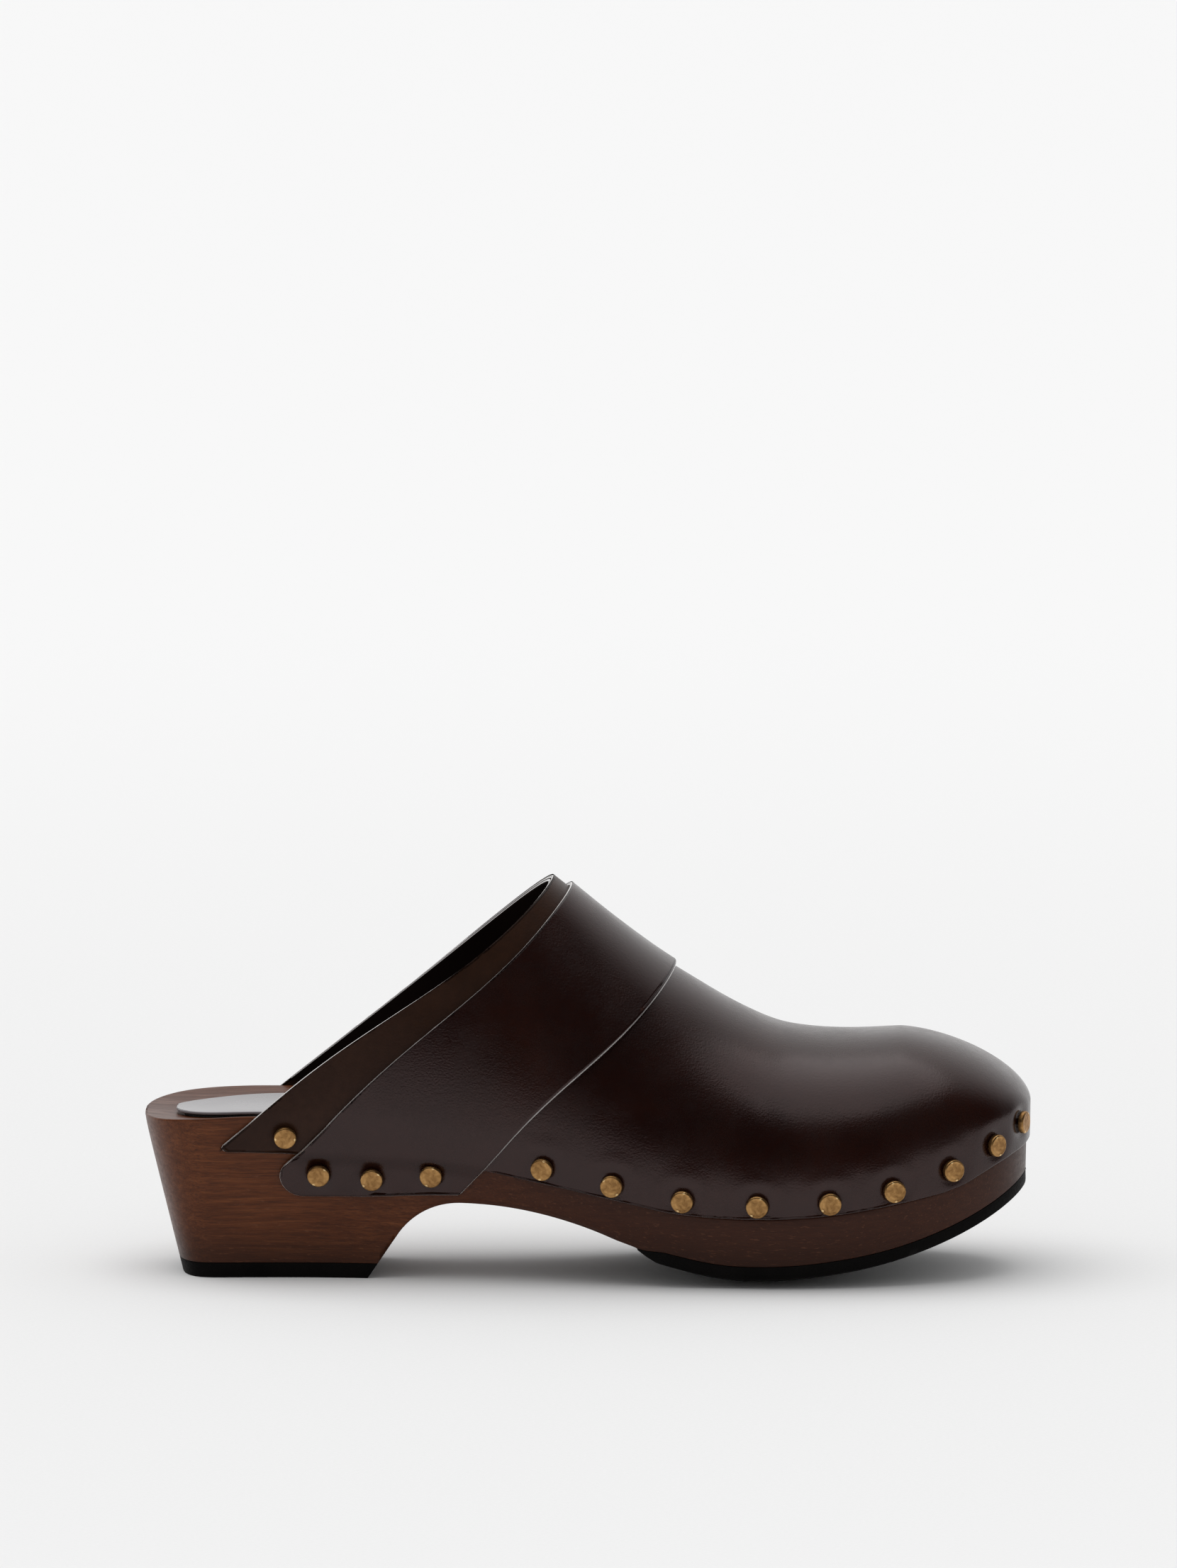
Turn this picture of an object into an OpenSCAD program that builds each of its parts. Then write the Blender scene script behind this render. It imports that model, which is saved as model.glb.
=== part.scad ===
// Wooden-soled clog for the right foot: closed toe, open back, nailed leather upper.
// X runs from heel to toe, -Y is the outer side of the foot, Z is up.
// The origin is the centre of the heel's face on the floor.

/* [Size] */
// Length of the wooden sole along X
sole_length = 261.2; // [215:0.1:300]
// Width of the sole across the ball of the foot
ball_width = 95.5; // [75:0.5:115]

/* [Leather] */
// Thickness of the upper leather
leather_t = 1.6; // [1.2:0.1:2]
// Thickness of the lining inside the upper
lining_t = 1.0; // [0.8:0.1:1.4]
// Depth of the shelf cut in the toe of the sole for the leather
toe_shelf = 0.65; // [0:0.05:1]

/* [Rubber] */
// Thickness of the heel lift
lift_t = 4.6; // [3:0.1:6]
// Thickness of the forefoot outsole
outsole_t = 4.0; // [3:0.1:5]

/* [Studs] */
// Diameter of a stud's head
stud_d = 6.6; // [5:0.1:8]
// Thickness of a stud's head
stud_head_t = 1.6; // [1:0.1:2.5]
// Diameter of a stud's shank
shank_d = 1.8; // [1.2:0.1:2.2]
// Length of a stud's shank below the head
shank_l = 7; // [6:0.5:9]

/* [Hidden] */
kx = sole_length / 261.2;
ky = ball_width / 95.5;

// Clearance between layers that lie on each other, under the band and under a stud's head
gap = 0.08;
band_gap = 0.15;
head_gap = 0.12;
// Stations stop this far inside the sharp ends of the outline
end_gap = 0.02;

// Outline of the sole's rim, seen from above
heel_x = -14.8 * kx;
heel_a = 24 * kx;
heel_n = 2.5;
toe_tip = 222.4 * kx;
toe_n = 2.4;
outer_toe_x = 145 * kx;
inner_toe_x = 165 * kx;

// Key points [x, value] along the sole; spl() runs a smooth curve through them
outer_k = [[-14.8, 31.5], [20, 31.5], [60, 35], [100, 44], [145, 49.5]];
inner_k = [[-14.8, 33.5], [20, 31.8], [55, 29.6], [90, 33.5], [130, 43], [165, 46]];
rim_k = [[-38.8, 47.4], [-25, 48.7], [-5, 49.7], [20, 49.2], [50, 46], [79, 40], [99, 35.5],
    [120, 31.5], [142, 30], [164, 31], [183, 35], [200, 42], [213, 47.6], [222.4, 50.7]];
margin_k = [[-20, 39.3], [6, 39], [40, 37.5], [62, 35.6], [86, 30.8], [104, 26.7], [120, 23.1],
    [140, 21.9], [164, 23], [191, 27.4], [202, 30.3], [212, 35.2], [222.4, 39.9]];
ridge_k = [[-40, 172], [0, 160], [40, 142], [62, 130.5], [81.4, 116], [99, 101.8], [113, 91.5],
    [124, 84.8], [136, 78.2], [148, 72.8], [158, 70.8], [170, 70.1], [185, 70.6]];
lean_k = [[-38.8, 0.245], [20, 0.235], [60, 0.16], [110, 0.06], [190, 0.06], [222.4, 0.02]];
tuck_k = [[60, 0], [110, 0.02], [180, 0.02], [222.4, 0]];
crown_k = [[100, 0], [122, 2.8], [190, 2.4], [222.4, 1.6]];
crown_y = 44 * ky;
dip_k = [[-38.8, 0.2], [-24, 2.6], [0, 3.3], [40, 3.4], [120, 4], [195, 3], [211, 1], [222.4, 0.3]];
spine_k = [[-5, 81.4], [17.5, 85.8], [69, 117.2], [130, 147], [180, 169], [222.4, 186]];
sway_k = [[-5, 2], [17.5, 1.8], [69, 0.2], [130, 0]];
inner_sway_k = [[-5, 1.2], [69, 0]];
bend_k = [[-5, 2.4], [17.5, 1.6], [69, 0.9], [130, 0]];
// How much further forward the mouth is cut on the inner side, and over what length that fades
inner_cut = 6.1;
inner_cut_l = 65;

// Toe cap's ridge: a superellipse falling from its crest to the rim
crest_x = 185;
crest_n = 1.56;

// Underside of the sole: breast of the heel, two arch arcs and two rocker arcs
breast_x = 27.1;
breast_slope = 1.54;
notch = [54.8, 1.3, 22.5];
arch_r = 114;
rocker_x = 142;
rocker_back_r = 75;
rocker_front_r = 134;
outsole_x = 106.4;

// Places of the studs on the outer side, [x, z]; the inner side mirrors them
collar_stud = [[3.6, 44.1]];
band_studs = [[13.3, 32.5], [28.9, 31.4], [46.4, 32.7]];
vamp_studs = [[79.4, 35.7], [99.7, 31.3], [120.3, 27.1], [142.3, 25.9], [163.4, 26.7],
    [182.1, 30], [199.2, 35.2], [211.7, 41.2], [219.4, 46.3]];

// Lower corners of the band and of the collar's tail: [centre x, centre z, radius]
band_corner = [6.5, 31.3, 5.6];
tail_corner = [-12, 40.6, 1.2];
band_foot = 25.7;
// Lines of the upper: rear edges of the collar and the band, front edge of the band, rear edge
// of the vamp
mouth_x = -5;
band_x = 17.5;
band_front_x = 69;
seam_x = 44;

// ---- curves ----
function clamp(v, lo, hi) = min(max(v, lo), hi);
function ease(t) = let (c = clamp(t, 0, 1)) c * c * (3 - 2 * c);
function unit(v) = v / norm(v);

// Smooth curve through the key points of k, flat beyond its ends
function slope(k, i) =
    let (a = max(i - 1, 0), b = min(i + 1, len(k) - 1))
    (k[b][1] - k[a][1]) / (k[b][0] - k[a][0]);
function seg(k, x, i = 0) = (i >= len(k) - 2 || x < k[i + 1][0]) ? i : seg(k, x, i + 1);
function spl(k, x) =
    let (
        xc = clamp(x / kx, k[0][0], k[len(k) - 1][0]),
        i = seg(k, xc),
        h = k[i + 1][0] - k[i][0],
        t = (xc - k[i][0]) / h,
        u = 1 - t
    )
    k[i][1] * (1 + 2 * t) * u * u + slope(k, i) * h * t * u * u
        + k[i + 1][1] * t * t * (3 - 2 * t) - slope(k, i + 1) * h * t * t * u;

// Quarter superellipse: 1 at the start of the end cap, 0 at its tip
function cap(u, n) = pow(max(1 - pow(clamp(u, 0, 1), n), 0), 1 / n);

// Half width of the rim on one side; side is -1 on the outer side, 1 on the inner
function half_w(x, side) =
    let (k = side < 0 ? outer_k : inner_k, xt = side < 0 ? outer_toe_x : inner_toe_x)
    ky * spl(k, x) * (x < heel_x ? cap((heel_x - x) / heel_a, heel_n) : 1)
        * (x > xt ? cap((x - xt) / (toe_tip - xt), toe_n) : 1);
function rim(x) = spl(rim_k, x);
function margin(x) = spl(margin_k, x);
function ridge(x) =
    x / kx < crest_x ? spl(ridge_k, x)
    : let (end = rim_k[len(rim_k) - 1][1], top = ridge_k[len(ridge_k) - 1][1])
      end + (top - end) * cap((x / kx - crest_x) / (toe_tip / kx - crest_x), crest_n);
function rise(x) = max(ridge(x) - rim(x), 0.001);
function sec_n(x) = 2 + 0.15 * ease((x - 120) / 60);

// Rate of change of a half width, a rim height or a rise along X
step = 0.02;
function d_half(x, side) =
    x > toe_tip - step ? -500
    : x < heel_x - heel_a + step ? 500
    : (half_w(x + step, side) - half_w(x - step, side)) / (2 * step);
function d_rim(x) = (rim(x + step) - rim(x - step)) / (2 * step);
function d_rise(x) = (rise(x) - rise(x - step)) / step;

// Normal of the rim's outline, seen from above
function plan_n(x, side) = unit([-d_half(x, side), side]);

// How far the wall has drawn in at depth d below the rim
function soft(d) = (d + sqrt(d * d + 16)) / 2;
function draw_in(x, d) = spl(lean_k, x) * soft(d) + spl(tuck_k, x) * pow(max(d - 10, 0), 2);
function draw_rate(x, d) =
    spl(lean_k, x) * (1 + d / sqrt(d * d + 16)) / 2 + 2 * spl(tuck_k, x) * max(d - 10, 0);

// ---- the surface of the clog: wooden wall below the rim, foot-shaped dome above it ----
// Point of the surface at [x, side, share c of the half width, height z], moved out by o
function skin(x, side, c, z, o = 0) =
    let (
        n = sec_n(x),
        q = clamp((z - rim(x)) / rise(x), 0, 1),
        w = max(half_w(x, side), 0.001),
        pn = plan_n(x, side),
        d = rim(x) - z,
        gx = -(q > 0 ? pow(c, n) : 1) * d_half(x, side)
            - w * (pow(q, n - 1) / rise(x) * d_rim(x) + pow(q, n) * d_rise(x) / rise(x)),
        gy = side * (q > 0 ? pow(c, n - 1) : 1),
        gz = w * pow(q, n - 1) / rise(x),
        flat = unit([gx, gy, gz]),
        nrm = unit(flat - [0, 0, draw_rate(x, d) * norm([flat[0], flat[1]])]),
        p = [x, side * w * c, z] - draw_in(x, d) * [pn[0], pn[1], 0]
    )
    p + o * nrm;
// Same point on the wall or the dome, from its height alone
function share(x, z) =
    let (q = clamp((z - rim(x)) / rise(x), 0, 1)) pow(max(1 - pow(q, sec_n(x)), 0), 1 / sec_n(x));
function wall(x, side, z, o = 0) = skin(x, side, share(x, z), z, o);
// Same point from its share of the half width
function dome(x, side, c, o = 0) =
    skin(x, side, c, rim(x) + rise(x) * pow(max(1 - pow(c, sec_n(x)), 0), 1 / sec_n(x)), o);
function skin_n(x, side, z) = unit(wall(x, side, z, 1) - wall(x, side, z));

// Lines across the upper are named by xo. Each crosses the rim at crossing(xo), then climbs to the
// ridge. Lines are nearly straight seen from the side at the back, and fan round the toe.
function crossing(xo, side) =
    side < 0 ? xo : xo + kx * inner_cut * (1 - ease((xo / kx - mouth_x) / inner_cut_l));
function straightness(xo) = 1 - ease((xo / kx - 70) / 80);
function sway(xo, side) = side < 0 ? spl(sway_k, xo) : spl(inner_sway_k, xo);
function bend(xo, side) = side < 0 ? spl(bend_k, xo) : 0;
// Point of line xo, t of the way up from the rim to the ridge
function climb(xo, side, t, o = 0) =
    let (
        xr = crossing(xo, side),
        xs = kx * spl(spine_k, xo),
        a = 90 * t,
        n = sec_n(xo),
        f = pow(sin(a), 2 / n),
        xa = xr + (xs - xr) * f + sway(xo, side) * sin(180 * f) - bend(xo, side) * sin(360 * f),
        ya = half_w(xa, side) * share(xa, rim(xr) + (ridge(xs) - rim(xr)) * f),
        r = pow(cos(a), 2 / n),
        xb = xs + (xr - xs) * r,
        yb = half_w(xr, side) * r,
        k = straightness(xo),
        x = k * xa + (1 - k) * xb,
        y = k * ya + (1 - k) * yb
    )
    dome(x, side, clamp(y / max(half_w(x, side), 0.001), 0, 1), o);
// Point of the same line where it runs on down the wall to height z
function drop(xo, side, z, o = 0) =
    let (
        xr = crossing(xo, side),
        xs = kx * spl(spine_k, xo),
        slip = PI * (sway(xo, side) - 2 * bend(xo, side)),
        run = (xs - xr + slip) / (ridge(xs) - rim(xr)),
        x = xr - straightness(xo) * run * (rim(xr) - z)
    )
    wall(x, side, z, o);

// How far the upper's outer face stands outside the wood
function proud(x) = leather_t + gap + shelf(x);

// ---- meshes ----
// Two triangles between neighbouring rows; flip turns them over
function quad(a, b, c, d, flip) = flip ? [[a, c, b], [a, d, c]] : [[a, b, c], [a, c, d]];

// Shell between two grids of the same size. Each row runs from the outer foot edge over the top
// to the inner one. A closed tip's last row is folded: its two halves are the same points.
module shell(outside, inside, tip = false) {
    rows = len(outside) - 1;
    cols = len(outside[0]) - 1;
    half = cols / 2;
    full = rows * (cols + 1);
    size = full + (tip ? half + 1 : cols + 1);
    function at(i, j) = i * (cols + 1) + (i == rows && tip && j > half ? cols - j : j);
    function flat(g) = [for (i = [0 : rows], j = [0 : (i == rows && tip ? half : cols)]) g[i][j]];
    faces = [
        for (i = [0 : rows - 1], j = [0 : cols - 1])
            each concat(
                quad(at(i, j), at(i + 1, j), at(i + 1, j + 1), at(i, j + 1), false),
                quad(size + at(i, j), size + at(i + 1, j), size + at(i + 1, j + 1), size + at(i, j + 1),
                    true)),
        for (i = [0 : rows - 1])
            each concat(
                quad(at(i, 0), size + at(i, 0), size + at(i + 1, 0), at(i + 1, 0), false),
                quad(at(i, cols), at(i + 1, cols), size + at(i + 1, cols), size + at(i, cols), false)),
        for (j = [0 : cols - 1])
            each concat(
                quad(at(0, j), at(0, j + 1), size + at(0, j + 1), size + at(0, j), false),
                tip ? []
                    : quad(at(rows, j), size + at(rows, j), size + at(rows, j + 1), at(rows, j + 1), false))
    ];
    polyhedron(points = concat(flat(outside), flat(inside)), faces = faces, convexity = 6);
}

// Mean of a list of points
function middle(r, i = 0) = i == len(r) ? [0, 0, 0] : r[i] / len(r) + middle(r, i + 1);

// Solid between rows of points: each row is one closed ring, and each end is a fan about its middle
module loft(rings) {
    n = len(rings[0]);
    last = len(rings) - 1;
    first_hub = n * len(rings);
    faces = [
        for (i = [0 : last - 1], j = [0 : n - 1])
            each quad(i * n + j, (i + 1) * n + j, (i + 1) * n + (j + 1) % n, i * n + (j + 1) % n, false),
        for (j = [0 : n - 1])
            each [[first_hub, j, (j + 1) % n], [first_hub + 1, last * n + (j + 1) % n, last * n + j]]
    ];
    polyhedron(
        points = concat([for (r = rings) each r], [middle(rings[0]), middle(rings[last])]),
        faces = faces,
        convexity = 6);
}

// ---- wooden sole ----
// Height of the outsole's underside and of the wood's, along the middle
function tread(x) =
    let (d = x / kx - rocker_x, r = d < 0 ? rocker_back_r : rocker_front_r) r - sqrt(r * r - d * d);
function wood_under(x) =
    let (
        u = x / kx,
        d = u - notch[0],
        top = notch[1] + notch[2]
    )
    u < breast_x + lift_t / breast_slope ? lift_t
    : u < notch[0] - notch[2] * cos(30) ? (u - breast_x) * breast_slope
    : u < notch[0] ? notch[1] + sqrt(notch[2] * notch[2] - d * d)
    : u < outsole_x ? top - arch_r + sqrt(arch_r * arch_r - d * d)
    : tread(x) + 2.4 + (outsole_t - 2.4) * ease((u - outsole_x) / 9);
function crown(x, y) = spl(crown_k, x) * pow(min(abs(y) / crown_y, 1), 4);

// Stations along the sole: close together round the heel, at the breast and round the toe
heel_stop = kx * (breast_x + lift_t / breast_slope);
back_x = heel_x - heel_a;
heel_stations = [for (i = [0 : 13]) back_x + (heel_stop - back_x) * pow(i / 13, 1.7)];
arch_stations = [for (i = [1 : 15]) heel_stop + (outsole_x * kx - heel_stop) * pow(i / 15, 1.15)];
fore_stations = [for (i = [1 : 26]) let (u = 1 - i / 26) toe_tip - (toe_tip - outsole_x * kx) * u * u];
stations = concat(heel_stations, arch_stations, fore_stations);

// Where the plan position of a bottom edge is read: the toe's edge is well inside its station
function read_x(x, px) = x + (px - x) * ease((x / kx - 120) / 60);
function edge_x(x, side, z) = (x * [1, 0] - draw_in(x, rim(x) - z) * plan_n(x, side))[0];
// Lower edge of the wood on one side
function wood_edge(x, side) =
    let (
        first = wood_under(x) + crown(x, half_w(x, side) - 5),
        y = wall(x, side, first)[1]
    )
    wall(x, side, wood_under(read_x(x, edge_x(x, side, first))) + crown(x, y));
// Depth of the rubber at a station's edge
function rubber_depth(x) =
    (wood_under(x) - tread(x)) * ease((x / kx - outsole_x + 3) / 9);

bottom_cols = 8;
function bottom_row(x) =
    let (a = wood_edge(x, -1), b = wood_edge(x, 1))
    [for (j = [0 : bottom_cols])
        let (
            s = 2 * j / bottom_cols - 1,
            p = a + (b - a) * (s + 1) / 2,
            z = wood_under(read_x(x, p[0])) + crown(x, p[1])
        )
        j == 0 ? a : j == bottom_cols ? b : [p[0], p[1], z]];

// Footbed height at a share s of the way from the middle to the rim
function bed(x, s) = rim(x) - spl(dip_k, x) * (1 - s * s);

// Chamfers along the rim and along the edges of the waist
rim_edge = 0.4;
chamfer = 1.1;
function cut_at(x) = chamfer * ease((x / kx - 34) / 12) * (1 - ease((x / kx - 92) / 14));
// How far a wall stands out from the wood's face at the toe's shelf
function shelf(x) = -toe_shelf * ease((x / kx - 60) / 60);

// One side of a station, from the lower edge up to the rim
function side_col(x, side) =
    let (
        e = wood_edge(x, side),
        top = margin(x) - 0.25,
        o = shelf(x)
    )
    concat(
        [wall(x, side, e[2] + cut_at(x) + 0.3)],
        [for (t = [0.35, 0.7]) wall(x, side, e[2] + (top - e[2]) * t)],
        [wall(x, side, top), wall(x, side, top + 0.2, o), wall(x, side, rim(x) - rim_edge, o),
            wall(x, side, rim(x), o - rim_edge)]);

top_cols = 8;
function sole_ring(x) =
    let (
        l = side_col(x, -1),
        r = side_col(x, 1),
        a = l[len(l) - 1],
        b = r[len(r) - 1],
        under = bottom_row(x),
        cut = [0, cut_at(x), 0]
    )
    concat(
        [under[bottom_cols] - cut],
        [for (j = [bottom_cols - 1 : -1 : 1]) under[j]],
        [under[0] + cut],
        l,
        [for (j = [1 : top_cols - 1])
            let (s = 2 * j / top_cols - 1, p = a + (b - a) * (s + 1) / 2) [p[0], p[1], bed(x, s)]],
        [for (i = [len(r) - 1 : -1 : 0]) r[i]]);

module wooden_sole() {
    color("saddlebrown")
    difference() {
        loft([for (x = stations) sole_ring(clamp(x, back_x + end_gap, toe_tip - end_gap))]);
        shank_holes();
    }
}

// ---- rubber ----
module heel_lift() {
    color([0.08, 0.08, 0.08])
    difference() {
        loft([for (x = heel_stations)
            let (
                xc = max(x, back_x + end_gap),
                k = (xc - back_x) / (heel_stop - back_x),
                low = back_x + (breast_x * kx - back_x) * k,
                a = wood_edge(xc, -1),
                b = wood_edge(xc, 1),
                c = wall(low, -1, -0.5),
                d = wall(low, 1, -0.5)
            )
            [[b[0], b[1], lift_t], [a[0], a[1], lift_t], c, d]]);
        translate([back_x, -ball_width, -10])
        cube([2 * (heel_stop - back_x), 2 * ball_width, 10]);
    }
}

module forefoot_outsole() {
    color([0.08, 0.08, 0.08])
    loft([for (x = concat([outsole_x * kx], fore_stations))
        let (
            xc = min(x, toe_tip - end_gap),
            top = bottom_row(xc),
            depth = rubber_depth(xc)
        )
        concat(
            [for (j = [0 : bottom_cols]) top[j]],
            [for (j = [bottom_cols : -1 : 0])
                let (s = 2 * j / bottom_cols - 1, p = top[j], m = (top[0] + top[bottom_cols]) / 2)
                [m[0] + (p[0] - m[0]) * 0.97, m[1] + (p[1] - m[1]) * 0.97, p[2] - depth]])]);
}

// ---- upper ----
// Rows of the upper between two lines, from the foot edge over the ridge and down
wall_rows = 3;
function upper_row(xo, foot, rows, o, flare = 0) =
    let (half = [for (side = [-1, 1])
        concat(
            [for (j = [0 : wall_rows - 1])
                let (z = foot + (rim(xo) - foot) * j / wall_rows)
                drop(xo, side, z, o - flare * (1 - ease((z - margin(xo) + 3) / 5)))],
            [for (j = [0 : rows]) climb(xo, side, j / rows, o)])])
    concat(half[0], [for (j = [len(half[1]) - 2 : -1 : 0]) half[1][j]]);

// Lines across the upper, closer together towards the toe
function fan(from, n) = [for (i = [0 : n]) let (u = 1 - i / n) toe_tip - (toe_tip - from) * u * u];

module vamp() {
    lines = fan(seam_x * kx, 30);
    color([0.16, 0.08, 0.06])
    difference() {
        shell(
            [for (x = lines) upper_row(x, margin(x), 13, proud(x))],
            [for (x = lines) upper_row(x, margin(x), 13, proud(x) - leather_t)],
            tip = true);
        shank_holes(vamp_studs);
    }
}

// Height of a rounded lower corner, d along the foot from the rear edge; line rises at 44 degrees
function corner_z(c, d, foot) =
    let (a = 44, k = c[2] - d * sin(a))
    k > -c[2] * cos(a) ? c[1] + k * cos(a) - sqrt(max(c[2] * c[2] - k * k, 0)) * sin(a) : foot;

module collar_strap() {
    front_x = seam_x - 0.4;
    lines = [for (i = [0 : 9]) kx * (mouth_x + (front_x - mouth_x) * pow(i / 9, 1.8))];
    feet = [for (x = lines) max(corner_z(tail_corner, x / kx - mouth_x, margin(x)), margin(x))];
    color([0.24, 0.13, 0.09])
    difference() {
        shell(
            [for (i = [0 : len(lines) - 1]) upper_row(lines[i], feet[i], 15, proud(lines[i]))],
            [for (i = [0 : len(lines) - 1])
                upper_row(lines[i], feet[i], 15, proud(lines[i]) - leather_t)]);
        shank_holes(concat(collar_stud, band_studs));
    }
}

module instep_band() {
    lines = [for (i = [0 : 12]) kx * (band_x + (band_front_x - band_x) * pow(i / 12, 1.3))];
    feet = [for (x = lines)
        corner_z(band_corner, x / kx - band_x, band_foot + ease((x / kx - 45) / 24))];
    color([0.16, 0.08, 0.06])
    difference() {
        shell(
            [for (i = [0 : len(lines) - 1])
                let (o = proud(lines[i]) + leather_t + band_gap)
                upper_row(lines[i], feet[i], 15, o, leather_t)],
            [for (i = [0 : len(lines) - 1])
                let (o = proud(lines[i]) + band_gap) upper_row(lines[i], feet[i], 15, o, leather_t)]);
        shank_holes(band_studs);
    }
}

module vamp_lining() {
    lines = fan((mouth_x + 0.4) * kx, 34);
    color([0.12, 0.07, 0.05])
    shell(
        [for (x = lines) lining_row(x, proud(x) - leather_t - gap)],
        [for (x = lines) lining_row(x, proud(x) - leather_t - gap - lining_t)],
        tip = true);
}
// The lining starts just above the rim
function lining_row(xo, o) =
    let (half = [for (side = [-1, 1]) [for (j = [0 : 13]) climb(xo, side, max(j / 13, 0.02), o)]])
    concat(half[0], [for (j = [12 : -1 : 0]) half[1][j]]);

// ---- heel pad ----
sock_x = [-29, 70];
sock_w = 19.5;
foam_t = 0.8;
sock_t = 0.9;
// Closed pad lying on the footbed: inset from the pad's outline, from height z0 to z1 above the wood
module pad(inset, z0, z1) {
    mid = kx * (sock_x[0] + sock_x[1]) / 2;
    a = kx * (sock_x[1] - sock_x[0]) / 2 - inset;
    loft([for (i = [1 : 15])
        let (
            x = mid - a * cos(180 * i / 16),
            w = (ky * sock_w - inset) * cap(abs(x - mid) / a, 2.6),
            row = [for (j = [0 : 8])
                let (y = w * (j / 4 - 1), s = y / ((half_w(x, -1) + half_w(x, 1)) / 2)) [x, y, bed(x, s)]]
        )
        concat([for (j = [8 : -1 : 0]) row[j] + [0, 0, z0]], [for (j = [0 : 8]) row[j] + [0, 0, z1]])]);
}

module sock_foam() {
    color("dimgray") pad(1.6, gap, gap + foam_t);
}

module heel_sock() {
    color("slategray") pad(0, 2 * gap + foam_t, 2 * gap + foam_t + sock_t);
}

// ---- studs ----
// Chamfer round a head, how far a shank runs up into its head, and how much wider and deeper than
// the shank its hole is
stud_edge = 0.35;
overlap = 0.5;
hole_play = 0.1;
hole_spare = 0.3;
// Distance of the leather's face from the wood under a stud
function seat(list, i) = list == band_studs ? leather_t + band_gap + gap : proud(list[i][0]);
// Puts its children at a stud's place, with +Z along the surface's outward normal
module at_stud(list, i, side) {
    x = list[i][0] * kx;
    z = list[i][1];
    p = wall(x, side, z);
    n = skin_n(x, side, z);
    translate(p)
    rotate([0, acos(n[2]), atan2(n[1], n[0])])
    children();
}

module stud(list, i, side) {
    color([0.65, 0.46, 0.2])
    at_stud(list, i, side) {
        lift = seat(list, i) + head_gap;
        translate([0, 0, lift])
        rotate_extrude($fn = 48)
        polygon([[0, 0], [stud_d / 2, 0], [stud_d / 2, stud_head_t - stud_edge],
            [stud_d / 2 - stud_edge, stud_head_t], [0, stud_head_t]]);
        translate([0, 0, lift - shank_l])
        cylinder(d = shank_d, h = shank_l + overlap, $fn = 24);
    }
}

// Holes that the shanks are driven into
module shank_holes(only = []) {
    for (list = [collar_stud, band_studs, vamp_studs], i = [0 : len(list) - 1], side = [-1, 1])
        if (len(only) == 0 || len([for (p = only) if (p == list[i]) 1]) > 0)
            at_stud(list, i, side)
            translate([0, 0, seat(list, i) - shank_l - hole_spare])
            cylinder(d = shank_d + hole_play, h = shank_l + 4, $fn = 24);
}

wooden_sole();
heel_lift();
forefoot_outsole();
vamp();
collar_strap();
instep_band();
vamp_lining();
heel_sock();
sock_foam();
for (side = [-1, 1], s = [side < 0 ? "outer" : "inner"]) {
    stud(collar_stud, 0, side);
    for (i = [0 : len(band_studs) - 1])
        stud(band_studs, i, side);
    for (i = [0 : len(vamp_studs) - 1])
        stud(vamp_studs, i, side);
}
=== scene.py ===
"""Wooden-soled clog, right foot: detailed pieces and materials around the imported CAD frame.

Lengths are in millimetres and become metres where an object is made; materials are in metres.
X runs from heel to toe, -Y is the outer side of the foot, Z is up.
Tables ending in _K hold the key points [x, value] of a curve along the sole.
"""
import math
import bpy
import numpy as np
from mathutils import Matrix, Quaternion, Vector


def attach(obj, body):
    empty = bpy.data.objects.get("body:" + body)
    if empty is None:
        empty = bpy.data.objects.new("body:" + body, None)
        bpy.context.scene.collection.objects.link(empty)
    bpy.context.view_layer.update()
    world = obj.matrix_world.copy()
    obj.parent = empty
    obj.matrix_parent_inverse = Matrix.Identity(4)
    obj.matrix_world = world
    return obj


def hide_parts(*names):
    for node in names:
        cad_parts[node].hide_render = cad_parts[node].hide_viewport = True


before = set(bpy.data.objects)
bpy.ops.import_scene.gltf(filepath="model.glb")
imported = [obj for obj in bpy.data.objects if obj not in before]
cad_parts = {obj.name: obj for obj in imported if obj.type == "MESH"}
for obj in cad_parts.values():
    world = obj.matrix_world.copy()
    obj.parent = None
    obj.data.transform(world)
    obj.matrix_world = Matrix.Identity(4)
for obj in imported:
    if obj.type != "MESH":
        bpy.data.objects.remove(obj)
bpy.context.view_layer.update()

MM = 0.001
OUTER, INNER = -1, 1

# ---- outlines of the clog ----
# Half widths, rim height, lower edge of the leather, and ridge of the upper
OUTER_K = [(-14.8, 31.5), (20, 31.5), (60, 35), (100, 44), (145, 49.5)]
INNER_K = [(-14.8, 33.5), (20, 31.8), (55, 29.6), (90, 33.5), (130, 43), (165, 46)]
RIM_K = [(-38.8, 47.4), (-25, 48.7), (-5, 49.7), (20, 49.2), (50, 46), (79, 40), (99, 35.5),
         (120, 31.5), (142, 30), (164, 31), (183, 35), (200, 42), (213, 47.6), (222.4, 50.7)]
MARGIN_K = [(-20, 39.3), (6, 39), (40, 37.5), (62, 35.6), (86, 30.8), (104, 26.7), (120, 23.1),
            (140, 21.9), (164, 23), (191, 27.4), (202, 30.3), (212, 35.2), (222.4, 39.9)]
RIDGE_K = [(-40, 172), (0, 160), (40, 142), (62, 130.5), (81.4, 116), (99, 101.8), (113, 91.5),
           (124, 84.8), (136, 78.2), (148, 72.8), (158, 70.8), (170, 70.1), (185, 70.6)]
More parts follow.
